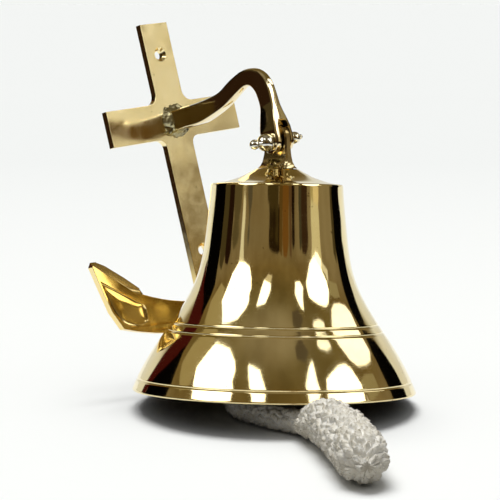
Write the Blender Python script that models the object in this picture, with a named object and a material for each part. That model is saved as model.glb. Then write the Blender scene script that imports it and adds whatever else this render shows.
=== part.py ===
"""Six-inch brass ship bell on an anchor-shaped wall bracket, set down on a table.

The bell stands tilted back with its rope under the front rim, and the bracket, hinged on the
clevis bolt at the crown, leans its lower end on the bell's flank. Metres, +Z up, table at Z = 0.
"""
import math

import bmesh
import bpy
import numpy as np
from mathutils import Matrix, Vector

MM = 0.001
GAP = 0.3 * MM

# Where the bell stands and how it leans.
ORIGIN_SHIFT = (12.22 * MM, -24.22 * MM)
BELL_TILT_BACK = math.radians(6.6)
BELL_ROLL = math.radians(0.86)
LUG_TURN = math.radians(42.1)
BRACKET_ROLL = math.radians(9.2)
BRACKET_SWING = math.radians(10.0)

# Bell casting: (radius, height above the rim) down the outside, from the shoulder to the lip.
SEGMENTS = 64
MOUTH_RADIUS = 76.0 * MM
BELL_SIDE = [
    (35.4, 110.7), (36.1, 101.0), (37.6, 87.0), (39.4, 73.0), (42.8, 59.7), (47.8, 48.9),
    (54.4, 38.2), (61.8, 27.4), (68.4, 16.7), (73.7, 6.4), (76.0, 1.0),
]
CROWN_SLOPE = [(11.4, 119.2), (14.5, 117.4), (20.0, 114.7), (27.5, 112.4), (34.6, 111.2)]
GROOVE_HEIGHTS = (36.6, 32.6, 6.4)
GROOVE_HALF_WIDTH = 0.45
GROOVE_DEPTH = 0.5
WALL = 3.6
LIP_WALL = 4.6
CROWN_WALL = 5.4
CROWN_SEAT_RADIUS = 11.8

# Crown lug and what hangs from its stud.
LUG_HALF_THICKNESS = 2.1
LUG_HALF_WIDTH = 8.3
LUG_CORNER_RADIUS = 7.6
LUG_TOP = 142.9
LUG_FOOT = 119.5
LUG_FLARE = [(0.0, 11.5, 5.0), (1.3, 10.7, 3.8), (3.6, 10.0, 2.8), (7.0, 9.3, 2.2)]
LUG_HOLE_RADIUS = 3.2
STUD_RADIUS = 4.0
STUD_END = 98.6
CROWN_HOLE_RADIUS = 4.3
WASHER_RADIUS = 10.4
WASHER_TOP = 113.5
WASHER_THICKNESS = 1.5
NUT_ACROSS_FLATS = 13.0
NUT_THICKNESS = 6.0
EYE_BOSS_RADIUS = 6.2
EYE_BOSS_BOTTOM = 95.6
EYE_BORE_END = 98.0
EYE_RING_CENTRE = 91.0
EYE_RING_RADIUS = 5.2
EYE_WIRE_RADIUS = 1.8

# Clapper, measured down from its pivot on the crown eye.
CLAPPER_HANG = math.radians(4.3)
HOOK_RING_RADIUS = 3.9
HOOK_WIRE_RADIUS = 1.7
ROD_RADIUS = 2.6
BALL_RADIUS = 11.0
BALL_DROP = 58.0
TAIL_RING_DROP = 76.4
TAIL_RING_RADIUS = 4.6
TAIL_WIRE_RADIUS = 1.6
PIN_RADIUS = 0.9

# Clevis bolt and its cap nut, as (distance along the bolt, radius).
BOLT_HEIGHT = 134.4
BOLT_RADIUS = 2.4
BOLT_END = -12.2
HEAD_BALL = (12.2, 3.4)
HEAD_TIP = (16.7, 1.4)
CAP_BALL = (-8.8, 4.9)
CAP_TIP = (-17.0, 2.75)
CAP_BORE_END = -12.7

# Anchor plate, from the middle of its cross: X along the stock, Z up the shank.
BRACKET_REACH = 80.0
CROSS_ABOVE_BOLT = 27.5
PLATE_THICKNESS = 4.0
SHANK_HALF_WIDTH = 9.8
SHANK_TOP = 56.0
STOCK_HALF_LENGTH = 47.0
STOCK_HALF_HEIGHT = 10.2
UPPER_FILLET = 6.0
LOWER_FILLET = 4.5
ARM_FILLET = 4.0
ARM_TOP = (-103.2, 0.00447)
ARM_BOTTOM = (-120.0, 0.0025)
ARM_END = 50.0
FLUKE_BACK = [
    (47.8, -88.6), (57.0, -80.8), (67.9, -72.5), (73.7, -69.3), (77.4, -69.1), (79.4, -71.8),
]
FLUKE_FRONT = [
    (51.6, -93.0), (60.2, -85.6), (70.6, -77.6), (77.6, -72.0), (78.6, -71.2), (79.4, -71.8),
]
FLUKE_OUTER = [(76.4, -84.5), (72.9, -98.0), (67.4, -108.4)]
DISH_RIM = [
    (76.2, -80.0), (66.5, -86.8), (55.0, -94.4), (50.2, -98.0), (49.6, -102.5), (50.4, -107.4),
    (57.0, -109.0), (65.9, -106.0), (71.8, -97.6), (75.3, -84.6),
]
DISH_DEPTH = 2.5
DISH_STEPS = 8
SCREW_HOLES = (38.0, -75.4)
SCREW_HOLE_RADIUS = 2.6
SCREW_SINK_RADIUS = 4.1
SCREW_SINK_DEPTH = 1.5
PLATE_BEVEL = 1.1

# Gooseneck arm: (out from the plate, up from the cross, depth, thickness) along its middle.
ARM_STATIONS = [
    (0.3, -0.7, 11.6, 9.4), (12.0, -0.8, 11.6, 9.0), (24.0, -0.9, 11.7, 8.4), (36.0, 0.5, 10.3, 7.4),
    (46.0, 2.6, 9.3, 6.4), (56.0, 6.8, 9.3, 5.6), (65.0, 9.6, 9.0, 5.1), (71.0, 9.3, 9.8, 5.0),
    (75.4, 7.0, 11.2, 5.1), (78.4, 2.8, 11.6, 5.3), (79.6, -2.8, 11.2, 5.6), (80.0, -8.4, 10.8, 6.4),
    (80.0, -13.0, 11.6, 8.4), (80.0, -17.5, 12.6, 10.6), (80.0, -22.0, 13.2, 12.3),
    (80.0, -27.5, 13.2, 12.7),
]
ARM_CORNER = 1.4
FORK_END_STEPS = 5
SLOT_WIDTH = 7.25
SLOT_OFFSET = 0.22
SLOT_ABOVE_BOLT = 11.0
FORK_HOLE_RADIUS = 2.7
ARM_SCREW_RADIUS = 2.1
ARM_SCREW_LENGTH = 12.0
ARM_SCREW_HEAD_RADIUS = 4.4

# Rope: its route on the table from the clapper's tail to its end, then the sizes of the grip.
STRAND_RADIUS = 6.7
ROPE_ROUTE = [
    (-12.8, -3.0, 9.0), (-15.8, -7.0, 7.8), (-18.8, -12.4, 7.1), (-20.4, -19.0, 6.9),
    (-19.8, -26.4, 6.9), (-16.4, -34.4, 6.9), (-10.8, -42.8, 6.9), (-4.0, -51.2, 6.9),
    (3.4, -59.2, 6.9), (10.0, -66.0, 7.1), (14.8, -70.8, 7.6), (18.8, -75.2, 8.0),
    (22.4, -81.6, 10.7), (25.6, -91.0, 12.5), (29.0, -105.0, 13.0), (32.6, -124.0, 13.1),
    (35.8, -145.0, 13.1), (38.0, -163.0, 12.8), (38.9, -172.0, 12.2), (39.5, -180.0, 11.8),
]
GRIP_START = 10
GRIP_HALF_SIZES = [
    (8.8, 7.2), (11.6, 7.7), (13.0, 10.5), (13.4, 12.3), (13.4, 12.8), (13.3, 12.9), (13.2, 12.9),
    (12.8, 12.5), (10.4, 10.2), (3.0, 3.0),
]
EYE_CORD_RADIUS = 2.2
EYE_LOOP_RADIUS = 4.6
WHIPPING_RADIUS = 5.0
WHIPPING_LENGTH = 5.0

POLISHED_BRASS = (0.80, 0.58, 0.26, 1.0)
PALE_BRASS = (0.86, 0.70, 0.42, 1.0)
NICKEL = (0.72, 0.70, 0.66, 1.0)
COTTON = (0.80, 0.78, 0.72, 1.0)
TWINE = (0.55, 0.50, 0.42, 1.0)


def clear_scene():
    for obj in list(bpy.data.objects):
        bpy.data.objects.remove(obj, do_unlink=True)


def material(name, colour, roughness, metallic):
    made = bpy.data.materials.new(name)
    made.use_nodes = True
    shader = made.node_tree.nodes["Principled BSDF"]
    shader.inputs["Base Color"].default_value = colour
    shader.inputs["Roughness"].default_value = roughness
    shader.inputs["Metallic"].default_value = metallic
    return made


def frame_empty(name, parent, location=(0, 0, 0), rotation=(0, 0, 0)):
    empty = bpy.data.objects.new(name, None)
    bpy.context.collection.objects.link(empty)
    empty.parent = parent
    empty.location = location
    empty.rotation_euler = rotation
    return empty


def object_from(bm, name, parent, look=None):
    bmesh.ops.recalc_face_normals(bm, faces=bm.faces)
    mesh = bpy.data.meshes.new(name)
    bm.to_mesh(mesh)
    bm.free()
    obj = bpy.data.objects.new(name, mesh)
    bpy.context.collection.objects.link(obj)
    obj.parent = parent
    if look:
        mesh.materials.append(look)
    return obj


def smooth_shade(obj, degrees=35):
    obj.data.shade_smooth()
    obj.data.set_sharp_from_angle(angle=math.radians(degrees))


def make_cutter(obj):
    obj.hide_render = True
    obj.display_type = "WIRE"
    return obj


def boolean(obj, other, operation):
    modifier = obj.modifiers.new(f"{operation.lower()} {other.name}", "BOOLEAN")
    modifier.operation = operation
    modifier.object = make_cutter(other)


def smooth_curve(points, per_span):
    """Catmull-Rom curve through the points, with its ends kept."""
    p = np.array(points, float)
    p = np.vstack([2 * p[0] - p[1], p, 2 * p[-1] - p[-2]])
    out = []
    for i in range(1, len(p) - 2):
        for k in range(per_span):
            t = k / per_span
            a, b, c, d = p[i - 1], p[i], p[i + 1], p[i + 2]
            out.append(0.5 * (2 * b + (c - a) * t + (2 * a - 5 * b + 4 * c - d) * t**2
                              + (3 * b - 3 * c + d - a) * t**3))
    out.append(p[-2])
    return np.array(out)


def loft(rings, cap=True):
    """A bmesh skinned over rings of equal point count. With cap False the last ring meets the first."""
    bm = bmesh.new()
    loops = [[bm.verts.new(Vector(point)) for point in ring] for ring in rings]
    count = len(loops[0])
    pairs = list(zip(loops, loops[1:]))
    if not cap:
        pairs.append((loops[-1], loops[0]))
    for lower, upper in pairs:
        for i in range(count):
            j = (i + 1) % count
            bm.faces.new((lower[i], lower[j], upper[j], upper[i]))
    if cap:
        bm.faces.new(loops[0])
        bm.faces.new(loops[-1])
    return bm


def turned(profile, segments, axis="Z"):
    """A bmesh turned from (radius, height) points in mm; a point at radius 0 closes an end."""
    bm = bmesh.new()
    rings = []
    for radius, height in profile:
        if radius == 0:
            rings.append([bm.verts.new((0, 0, height * MM))])
            continue
        angles = [2 * math.pi * i / segments for i in range(segments)]
        rings.append([bm.verts.new((radius * MM * math.cos(a), radius * MM * math.sin(a), height * MM))
                      for a in angles])
    closed = len(rings[0]) > 1
    for lower, upper in zip(rings, rings[1:] + rings[:1] if closed else rings[1:]):
        for i in range(segments):
            j = (i + 1) % segments
            if len(lower) == 1:
                bm.faces.new((lower[0], upper[j], upper[i]))
            elif len(upper) == 1:
                bm.faces.new((lower[i], lower[j], upper[0]))
            else:
                bm.faces.new((lower[i], lower[j], upper[j], upper[i]))
    if axis == "X":
        bmesh.ops.rotate(bm, verts=bm.verts, matrix=Matrix.Rotation(math.pi / 2, 3, "Y"))
    return bm


def torus(ring_radius, wire_radius, normal, centre=(0, 0, 0), ring_steps=24, wire_steps=10):
    """A ring of round wire in the plane across normal, with sizes in mm."""
    turn = Vector((0, 0, 1)).rotation_difference(Vector(normal)).to_matrix()
    rings = []
    for i in range(ring_steps):
        around = 2 * math.pi * i / ring_steps
        ring = []
        for k in range(wire_steps):
            across = 2 * math.pi * k / wire_steps
            reach = ring_radius + wire_radius * math.cos(across)
            point = Vector((reach * math.cos(around), reach * math.sin(around), wire_radius * math.sin(across)))
            ring.append((turn @ point + Vector(centre)) * MM)
        rings.append(ring)
    return loft(rings, cap=False)


def rod(radius, start, end, segments=24, axis="Z"):
    """A plain cylinder in mm between two heights on the Z or X axis, used as a piece or a cutter."""
    return turned([(0, start), (radius, start), (radius, end), (0, end)], segments, axis)


def arc(centre, radius, start_deg, end_deg, steps):
    turns = np.radians(np.linspace(start_deg, end_deg, steps + 1))
    return [(centre[0] + radius * math.cos(a), centre[1] + radius * math.sin(a)) for a in turns]


# Bell


def grooved(side):
    """The side's points with a small V cut in at each groove's height."""
    heights = side[::-1, 1]
    radii = side[::-1, 0]
    rows = [tuple(point) for point in side]
    for groove in GROOVE_HEIGHTS:
        rows = [row for row in rows if abs(row[1] - groove) > 1.6 * GROOVE_HALF_WIDTH]
        for offset, depth in ((-1, 0), (0, GROOVE_DEPTH), (1, 0)):
            height = groove + offset * GROOVE_HALF_WIDTH
            rows.append((float(np.interp(height, heights, radii)) - depth, height))
    return sorted(rows, key=lambda row: -row[1])


def inner_side(side):
    """The inside of the bell, the outside moved in by a wall that thickens at the lip."""
    slopes = np.gradient(side[:, 0], side[:, 1])
    wall = np.interp(side[:, 1], [0.0, 14.0, 40.0], [LIP_WALL, LIP_WALL - 0.3, WALL])
    length = np.sqrt(1 + slopes**2)
    radii = side[:, 0] - wall / length
    heights = side[:, 1] + wall * slopes / length
    inside = [(r, h) for r, h in zip(radii, heights) if 1.5 < h < 104.0]
    return inside[::-1]


def make_bell_shell(parent, look):
    side = smooth_curve(BELL_SIDE, 2)
    mouth = MOUTH_RADIUS / MM
    outside = CROWN_SLOPE + grooved(side)
    rim = [(mouth, 0.8), (mouth - 0.25, 0.25), (mouth - 0.9, 0.0), (mouth - LIP_WALL + 0.8, 0.0),
           (mouth - LIP_WALL + 0.1, 0.7)]
    crown_inside = 119.2 - CROWN_WALL
    inside = inner_side(side)[:: 2]
    inside += [(31.6, 106.2), (30.2, 107.4), (20.5, 110.6), (CROWN_SEAT_RADIUS, crown_inside)]
    hole = CROWN_HOLE_RADIUS
    profile = [(hole, 119.2)] + outside + rim + inside + [(hole, crown_inside)]
    bell = object_from(turned(profile, SEGMENTS), "bell_shell", parent, look)
    smooth_shade(bell, 28)
    return bell


def lug_sections():
    """(height, half width, half thickness) up the lug, from its flared foot to its round corners."""
    rows = [(LUG_FOOT + rise, width, thick) for rise, width, thick in LUG_FLARE]
    corner_height = LUG_TOP - LUG_CORNER_RADIUS
    rows.append((BOLT_HEIGHT - 3.0, LUG_HALF_WIDTH + 0.2, LUG_HALF_THICKNESS))
    for width, height in arc((LUG_HALF_WIDTH - LUG_CORNER_RADIUS, corner_height), LUG_CORNER_RADIUS, 0, 84, 5):
        rows.append((height, width, LUG_HALF_THICKNESS))
    return rows


def make_crown_lug(parent, look):
    rings = []
    for height, width, thick in lug_sections():
        soft = min(1.2, thick * 0.4)
        ring = [(thick, width - soft), (thick - soft, width), (soft - thick, width), (-thick, width - soft),
                (-thick, soft - width), (soft - thick, -width), (thick - soft, -width), (thick, soft - width)]
        rings.append([(x * MM, y * MM, height * MM) for x, y in ring])
    lug = object_from(loft(rings), "crown_lug", parent, look)
    stud = object_from(rod(STUD_RADIUS, STUD_END, LUG_FOOT + 3.0), "cut_lug_stud", parent)
    bore = object_from(rod(LUG_HOLE_RADIUS, -12, 12, 24, "X"), "cut_lug_bore", parent)
    bore.location.z = BOLT_HEIGHT * MM
    boolean(lug, stud, "UNION")
    boolean(lug, bore, "DIFFERENCE")
    smooth_shade(lug)
    return lug


def make_crown_washer(parent, look):
    top = WASHER_TOP
    bottom = top - WASHER_THICKNESS
    hole = CROWN_HOLE_RADIUS
    profile = [(hole, top), (WASHER_RADIUS - 0.4, top), (WASHER_RADIUS, top - 0.4), (WASHER_RADIUS, bottom + 0.4),
               (WASHER_RADIUS - 0.4, bottom), (hole, bottom)]
    washer = object_from(turned(profile, 32), "crown_washer", parent, look)
    smooth_shade(washer)


def make_crown_nut(parent, look):
    top = WASHER_TOP - WASHER_THICKNESS - GAP / MM
    across_corners = NUT_ACROSS_FLATS / math.sqrt(3)
    nut = object_from(rod(across_corners, top - NUT_THICKNESS, top, 6), "crown_nut", parent, look)
    bore = object_from(rod(CROWN_HOLE_RADIUS, top - NUT_THICKNESS - 2, top + 2), "cut_nut_bore", parent)
    boolean(nut, bore, "DIFFERENCE")
    bevel = nut.modifiers.new("corners", "BEVEL")
    bevel.width = 0.35 * MM
    bevel.segments = 1
    bevel.limit_method = "ANGLE"


def make_clapper_eye(parent, look):
    top = WASHER_TOP - WASHER_THICKNESS - NUT_THICKNESS - 2 * GAP / MM
    boss = [(CROWN_HOLE_RADIUS, top), (EYE_BOSS_RADIUS, top), (EYE_BOSS_RADIUS, EYE_BOSS_BOTTOM + 1.5),
            (EYE_BOSS_RADIUS - 1.5, EYE_BOSS_BOTTOM), (0, EYE_BOSS_BOTTOM), (0, EYE_BORE_END),
            (CROWN_HOLE_RADIUS, EYE_BORE_END)]
    eye = object_from(turned(boss[4::-1] + boss[:4:-1], 28), "clapper_eye", parent, look)
    ring = object_from(torus(EYE_RING_RADIUS, EYE_WIRE_RADIUS, (0, 1, 0), (0, 0, EYE_RING_CENTRE)),
                       "cut_eye_ring", parent)
    boolean(eye, ring, "UNION")
    smooth_shade(eye)


# Clapper


def make_clapper_rod(parent, look):
    shank = rod(ROD_RADIUS, -(TAIL_RING_DROP - TAIL_RING_RADIUS), -(HOOK_RING_RADIUS + 0.2))
    clapper = object_from(shank, "clapper_rod", parent, look)
    hook = object_from(torus(HOOK_RING_RADIUS, HOOK_WIRE_RADIUS, (1, 0, 0)), "cut_hook", parent)
    tail = object_from(torus(TAIL_RING_RADIUS, TAIL_WIRE_RADIUS, (1, 0, 0), (0, 0, -TAIL_RING_DROP)),
                       "cut_tail", parent)
    pin = object_from(rod(PIN_RADIUS + GAP / MM, -5, 5, 12, "X"), "cut_rod_pin", parent)
    pin.location.z = -BALL_DROP * MM
    boolean(clapper, hook, "UNION")
    boolean(clapper, tail, "UNION")
    boolean(clapper, pin, "DIFFERENCE")
    smooth_shade(clapper)


def make_clapper_ball(parent, look):
    hole = ROD_RADIUS + GAP / MM
    reach = math.degrees(math.acos(hole / BALL_RADIUS))
    outside = arc((0, 0), BALL_RADIUS, reach, -reach, 14)
    ball = object_from(turned(outside, 32), "clapper_ball", parent, look)
    ball.location.z = -BALL_DROP * MM
    pin = object_from(rod(PIN_RADIUS + GAP / MM, -14, 14, 12, "X"), "cut_ball_pin", parent)
    pin.location.z = -BALL_DROP * MM
    boolean(ball, pin, "DIFFERENCE")
    smooth_shade(ball)


def make_clapper_pin(parent, look):
    half = math.sqrt(BALL_RADIUS**2 - PIN_RADIUS**2) - 0.2
    pin = object_from(rod(PIN_RADIUS, -half, half, 12, "X"), "clapper_pin", parent, look)
    pin.location.z = -BALL_DROP * MM
    smooth_shade(pin)


# Bracket


def plate_outline(fluke):
    """Half of the anchor's outline, from the top of the shank down to the middle of its foot."""
    shank = SHANK_HALF_WIDTH
    stock = STOCK_HALF_HEIGHT
    points = [(shank, SHANK_TOP)]
    points += arc((shank + UPPER_FILLET, stock + UPPER_FILLET), UPPER_FILLET, 180, 270, 5)
    points += [(STOCK_HALF_LENGTH, stock), (STOCK_HALF_LENGTH, -stock)]
    points += arc((shank + LOWER_FILLET, -stock - LOWER_FILLET), LOWER_FILLET, 90, 180, 4)
    base, rise = ARM_TOP
    points += arc((shank + ARM_FILLET, base + ARM_FILLET + 0.6), ARM_FILLET, 180, 262, 4)
    for across in np.linspace(shank + ARM_FILLET + 5.0, ARM_END, 6):
        points.append((across, base + rise * across**2))
    points += fluke
    points += FLUKE_OUTER
    base, rise = ARM_BOTTOM
    for across in np.linspace(58.0, 0.0, 6):
        points.append((across, base + rise * across**2))
    return points


def mirrored(half):
    """The whole outline from its right half, whose last point is on the middle line."""
    return half + [(-x, z) for x, z in half[-2::-1]]


def make_anchor(parent, look):
    rings = []
    for fluke, depth in ((FLUKE_FRONT, 0.0), (FLUKE_BACK, PLATE_THICKNESS)):
        outline = mirrored(plate_outline(fluke))
        rings.append([(x * MM, depth * MM, z * MM) for x, z in outline])
    anchor = object_from(loft(rings), "anchor", parent, look)
    bevel = anchor.modifiers.new("polished edges", "BEVEL")
    bevel.width = PLATE_BEVEL * MM
    bevel.segments = 3
    bevel.limit_method = "ANGLE"
    bevel.angle_limit = math.radians(40)
    cut_screw_holes(anchor, parent)
    cut_dishes(anchor, parent)
    smooth_shade(anchor, 30)


def countersunk(radius, sink_radius, sink_depth, through):
    return turned([(0, -2), (sink_radius + 2, -2), (radius, sink_depth), (radius, through), (0, through)], 24)


def cut_screw_holes(anchor, parent):
    for number, height in enumerate(SCREW_HOLES):
        hole = object_from(countersunk(SCREW_HOLE_RADIUS, SCREW_SINK_RADIUS, SCREW_SINK_DEPTH, 8),
                           f"cut_screw_hole_{number}", parent)
        hole.rotation_euler.x = -math.pi / 2
        hole.location.z = height * MM
        boolean(anchor, hole, "DIFFERENCE")
    middle = object_from(countersunk(ARM_SCREW_RADIUS + GAP / MM, ARM_SCREW_HEAD_RADIUS, 2.2, 8),
                         "cut_arm_screw_hole", parent)
    middle.rotation_euler.x = math.pi / 2
    middle.location = (0, PLATE_THICKNESS * MM, ARM_STATIONS[0][1] * MM)
    boolean(anchor, middle, "DIFFERENCE")


def dish_levels():
    """(depth below the face, share of the rim) down a spoon's bowl, starting just above the face."""
    turns = np.radians(np.linspace(0, 84, DISH_STEPS))
    return [(-1.0, 1.02)] + [(DISH_DEPTH * math.sin(a), math.cos(a)) for a in turns]


def cut_dishes(anchor, parent):
    centre = np.mean(DISH_RIM, axis=0)
    rim = smooth_curve(DISH_RIM + DISH_RIM[:1], 3)[:-1]
    for side, name in ((1, "right"), (-1, "left")):
        rings = []
        for depth, share in dish_levels():
            ring = centre + (rim - centre) * share
            rings.append([(side * x * MM, depth * MM, z * MM) for x, z in ring])
        dish = object_from(loft(rings), f"cut_dish_{name}", parent)
        boolean(anchor, dish, "DIFFERENCE")


def arm_rings():
    """Rounded rectangles square to the arm's middle line, ending in the fork's round tip."""
    rows = smooth_curve(ARM_STATIONS, 3)
    radius = ARM_STATIONS[-1][2] / 2
    reach, height, _, thick = ARM_STATIONS[-1]
    for step in range(1, FORK_END_STEPS + 1):
        turn = math.radians(88) * step / FORK_END_STEPS
        rows = np.vstack([rows, (reach, height - radius * math.sin(turn), 2 * radius * math.cos(turn), thick)])
    tangents = np.gradient(rows[:, :2], axis=0)
    rings = []
    for (out, up, depth, thick), (run, climb) in zip(rows, tangents):
        length = math.hypot(run, climb)
        side = (-climb / length, run / length)
        half_depth = depth / 2
        half_thick = thick / 2
        soft = min(ARM_CORNER, 0.6 * half_depth)
        mid = 0.3 * soft
        ring = [(half_thick, half_depth - soft), (half_thick - mid, half_depth - mid), (half_thick - soft, half_depth)]
        ring += [(-x, d) for x, d in reversed(ring)]
        ring += [(x, -d) for x, d in reversed(ring)]
        rings.append([(x * MM, -(out + d * side[0]) * MM, (up + d * side[1]) * MM) for x, d in ring])
    return rings


def slot_cutter():
    """A slot with a half-round top, open downwards and through the fork from front to back."""
    radius = SLOT_WIDTH / 2
    top = SLOT_ABOVE_BOLT - CROSS_ABOVE_BOLT
    outline = arc((SLOT_OFFSET, top - radius), radius, 0, 180, 8)
    outline += [(SLOT_OFFSET - radius, top - 30.0), (SLOT_OFFSET + radius, top - 30.0)]
    return loft([[(x * MM, -out * MM, z * MM) for x, z in outline] for out in (68.0, 92.0)])


def make_arm(parent, look):
    arm = object_from(loft(arm_rings()), "gooseneck_arm", parent, look)
    slot = object_from(slot_cutter(), "cut_fork_slot", parent)
    bore = object_from(rod(FORK_HOLE_RADIUS, -12, 12, 24, "X"), "cut_fork_bore", parent)
    bore.location = (0, -BRACKET_REACH * MM, -CROSS_ABOVE_BOLT * MM)
    tapped = object_from(rod(ARM_SCREW_RADIUS + GAP / MM, -5, ARM_SCREW_LENGTH - 3), "cut_arm_tapping", parent)
    tapped.rotation_euler.x = math.pi / 2
    tapped.location.z = ARM_STATIONS[0][1] * MM
    for cutter in (slot, bore, tapped):
        boolean(arm, cutter, "DIFFERENCE")
    smooth_shade(arm)


def make_arm_screw(parent, look):
    head = ARM_SCREW_HEAD_RADIUS - 0.2
    thickness = PLATE_THICKNESS
    end = ARM_SCREW_LENGTH - 4.0
    profile = [(0, -thickness + 0.1), (head, -thickness + 0.1), (ARM_SCREW_RADIUS, -thickness + 2.5),
               (ARM_SCREW_RADIUS, end - 0.6), (ARM_SCREW_RADIUS - 0.6, end), (0, end)]
    screw = object_from(turned(profile, 24), "arm_screw", parent, look)
    screw.rotation_euler.x = math.pi / 2
    screw.location.z = ARM_STATIONS[0][1] * MM
    slot = bmesh.new()
    bmesh.ops.create_cube(slot, size=1.0, matrix=Matrix.Diagonal((1.0 * MM, 12 * MM, 2.2 * MM, 1)))
    slot = object_from(slot, "cut_driver_slot", parent)
    slot.rotation_euler.x = math.pi / 2
    slot.location = (0, thickness * MM, ARM_STATIONS[0][1] * MM)
    boolean(screw, slot, "DIFFERENCE")
    smooth_shade(screw)


def ball_profile(ball, start_deg, end_deg, steps):
    """Points (radius, distance) round a ball on the bolt's axis."""
    centre, radius = ball
    return [(r, d) for d, r in arc((centre, 0), radius, start_deg, end_deg, steps)]


def make_clevis_bolt(parent, look):
    face = ARM_STATIONS[-1][3] / 2 + GAP / MM
    profile = [(0, BOLT_END), (BOLT_RADIUS - 0.5, BOLT_END), (BOLT_RADIUS, BOLT_END + 0.5), (BOLT_RADIUS, face),
               (3.9, face), (3.9, face + 1.5), (2.5, face + 2.2)]
    profile += ball_profile(HEAD_BALL, 150, 28, 8)
    profile += ball_profile(HEAD_TIP, 140, 0, 6)[:-1]
    profile += [(0, sum(HEAD_TIP))]
    bolt = object_from(turned(profile, 24, "X"), "clevis_bolt", parent, look)
    smooth_shade(bolt)


def make_cap_nut(parent, look):
    face = -ARM_STATIONS[-1][3] / 2 - GAP / MM
    bore = BOLT_RADIUS + GAP / MM
    profile = [(0, CAP_TIP[0] - CAP_TIP[1])]
    profile += ball_profile(CAP_TIP, 165, 42, 7)
    profile += ball_profile(CAP_BALL, 152, 65, 8)
    profile += [(4.2, face), (bore, face), (bore, CAP_BORE_END), (0, CAP_BORE_END)]
    nut = object_from(turned(profile, 24, "X"), "cap_nut", parent, look)
    smooth_shade(nut)


# Rope


def make_rope_eye(parent, look):
    eye = object_from(torus(EYE_LOOP_RADIUS, EYE_CORD_RADIUS, (0, 1, 0)), "rope_eye", parent, look)
    eye.location.z = -(TAIL_RING_DROP + TAIL_RING_RADIUS) * MM
    smooth_shade(eye)
    return eye


def make_whipping(parent, look, start, towards):
    whipping = object_from(rod(WHIPPING_RADIUS, 0, WHIPPING_LENGTH, 16), "rope_whipping", parent, look)
    whipping.location = start
    whipping.rotation_euler = (towards - start).to_track_quat("Z", "Y").to_euler()
    smooth_shade(whipping)


def make_strand(parent, look):
    """The plain rope from the clapper's tail to the worked grip, as a tube along the route."""
    route = smooth_curve(ROPE_ROUTE, 2)[: 2 * GRIP_START + 1] * MM
    curve = bpy.data.curves.new("rope_strand", "CURVE")
    curve.dimensions = "3D"
    curve.bevel_depth = STRAND_RADIUS * MM
    curve.bevel_resolution = 4
    curve.use_fill_caps = True
    curve.materials.append(look)
    spline = curve.splines.new("POLY")
    spline.points.add(len(route) - 1)
    for point, place in zip(spline.points, route):
        point.co = (*place, 1)
    strand = bpy.data.objects.new("rope_strand", curve)
    bpy.context.collection.objects.link(strand)
    strand.parent = parent


def make_grip(parent, look):
    """The thick worked end of the rope, squeezed flat where it passes under the rim."""
    sizes = smooth_curve(GRIP_HALF_SIZES, 2)
    whole = smooth_curve(ROPE_ROUTE, 2)
    route = whole[2 * GRIP_START :]
    steps = np.diff(whole, axis=0)[2 * GRIP_START - 1 :]
    rings = []
    for place, step, (wide, high) in zip(route, steps, sizes):
        along = Vector(step).normalized()
        across = along.cross(Vector((0, 0, 1))).normalized()
        lift = across.cross(along)
        ring = []
        for k in range(16):
            turn = 2 * math.pi * k / 16
            offset = across * (wide * math.cos(turn)) + lift * (high * math.sin(turn))
            ring.append((Vector(place) + offset) * MM)
        rings.append(ring)
    start = Vector(steps[0]).normalized() * GAP
    rings = [[point + start for point in ring] for ring in rings]
    grip = object_from(loft(rings), "rope_grip", parent, look)
    smooth_shade(grip, 60)


def main():
    clear_scene()
    brass = material("polished_brass", POLISHED_BRASS, 0.12, 1.0)
    pale = material("pale_brass", PALE_BRASS, 0.22, 1.0)
    nickel = material("nickel_plate", NICKEL, 0.15, 1.0)
    cotton = material("cotton_rope", COTTON, 0.95, 0.0)
    twine = material("waxed_twine", TWINE, 0.85, 0.0)

    table = frame_empty("table_frame", None, (*ORIGIN_SHIFT, 0))
    lean = math.acos(math.cos(BELL_TILT_BACK) * math.cos(BELL_ROLL))
    rim_height = (MOUTH_RADIUS - 0.9 * MM) * math.sin(lean)
    bell = frame_empty("bell_frame", table, (0, 0, rim_height), (-BELL_TILT_BACK, BELL_ROLL, 0))
    lug = frame_empty("lug_frame", bell, rotation=(0, 0, LUG_TURN))
    pivot = frame_empty("clapper_pivot", lug, (0, 0, (EYE_RING_CENTRE - EYE_RING_RADIUS) * MM), (CLAPPER_HANG, 0, 0))
    hinge = frame_empty("bracket_pivot", lug, (0, 0, BOLT_HEIGHT * MM), (-BRACKET_SWING, -BRACKET_ROLL, 0))
    cross = frame_empty("bracket_frame", hinge, (0, BRACKET_REACH * MM, CROSS_ABOVE_BOLT * MM))

    make_bell_shell(bell, brass)
    make_crown_lug(lug, pale)
    make_crown_washer(lug, pale)
    make_crown_nut(lug, pale)
    make_clapper_eye(lug, pale)
    make_clapper_rod(pivot, pale)
    make_clapper_ball(pivot, brass)
    make_clapper_pin(pivot, pale)
    make_anchor(cross, pale)
    make_arm(cross, pale)
    make_arm_screw(cross, pale)
    make_clevis_bolt(hinge, pale)
    make_cap_nut(hinge, nickel)
    make_rope_eye(pivot, cotton)
    rope_start, next_place = (Vector(place) * MM for place in smooth_curve(ROPE_ROUTE, 2)[:2])
    towards = (next_place - rope_start).normalized()
    make_whipping(table, twine, rope_start - towards * (WHIPPING_LENGTH * MM + GAP), rope_start)
    make_strand(table, cotton)
    make_grip(table, cotton)


main()
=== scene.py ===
"""Looks for the brass ship bell on its anchor bracket: materials, rope, polished meshes and a studio.

Everything is in metres in the row frame. Lengths named in millimetres are multiplied by MM.
"""
import math

import bpy
import numpy as np
from mathutils import Euler, Matrix, Vector, noise


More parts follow.
